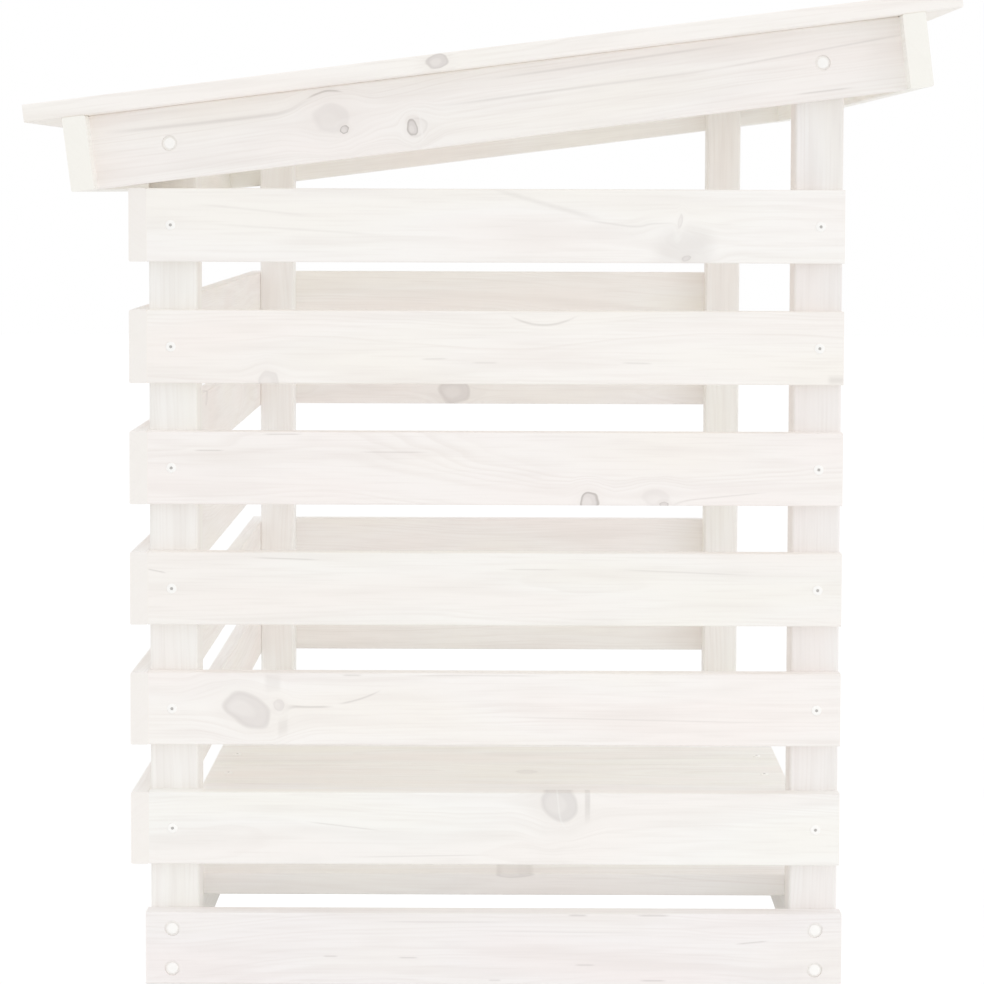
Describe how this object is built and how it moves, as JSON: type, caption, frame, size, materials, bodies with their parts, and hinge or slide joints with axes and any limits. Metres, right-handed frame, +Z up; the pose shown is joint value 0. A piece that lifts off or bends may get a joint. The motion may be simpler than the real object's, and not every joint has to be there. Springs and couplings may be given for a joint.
{
  "type": "log store",
  "caption": "Low open-fronted log store of white-stained pine boards, with slatted sides and back, a boarded floor and a boarded roof sloping to the back.",
  "frame": {"origin": "on the ground, under the middle of the roof", "axes": "+X along the store, the open front faces -Y, the roof slopes down towards +Y, +Z up"},
  "size_m": [1.08, 0.73, 0.7899],
  "materials": {
    "white_stained_pine": "planed pine, white stained, matt"
  },
  "bodies": {
    "root": {"back_slat_1": "white_stained_pine", "back_slat_2": "white_stained_pine", "back_slat_3": "white_stained_pine", "back_slat_4": "white_stained_pine", "back_slat_5": "white_stained_pine", "back_slat_6": "white_stained_pine", "base_rail_back": "white_stained_pine", "base_rail_front": "white_stained_pine", "base_rail_left": "white_stained_pine", "base_rail_right": "white_stained_pine", "fascia_back": "white_stained_pine", "fascia_front": "white_stained_pine", "floor_board_01": "white_stained_pine", "floor_board_02": "white_stained_pine", "floor_board_03": "white_stained_pine", "floor_board_04": "white_stained_pine", "floor_board_05": "white_stained_pine", "floor_board_06": "white_stained_pine", "floor_board_07": "white_stained_pine", "floor_board_08": "white_stained_pine", "floor_board_09": "white_stained_pine", "floor_board_10": "white_stained_pine", "floor_board_11": "white_stained_pine", "post_back_left": "white_stained_pine", "post_back_right": "white_stained_pine", "post_front_left": "white_stained_pine", "post_front_right": "white_stained_pine", "roof_boards": "white_stained_pine", "roof_rail_left": "white_stained_pine", "roof_rail_right": "white_stained_pine", "side_slat_left_1": "white_stained_pine", "side_slat_left_2": "white_stained_pine", "side_slat_left_3": "white_stained_pine", "side_slat_left_4": "white_stained_pine", "side_slat_left_5": "white_stained_pine", "side_slat_left_6": "white_stained_pine", "side_slat_right_1": "white_stained_pine", "side_slat_right_2": "white_stained_pine", "side_slat_right_3": "white_stained_pine", "side_slat_right_4": "white_stained_pine", "side_slat_right_5": "white_stained_pine", "side_slat_right_6": "white_stained_pine"}
  },
  "joints": []
}
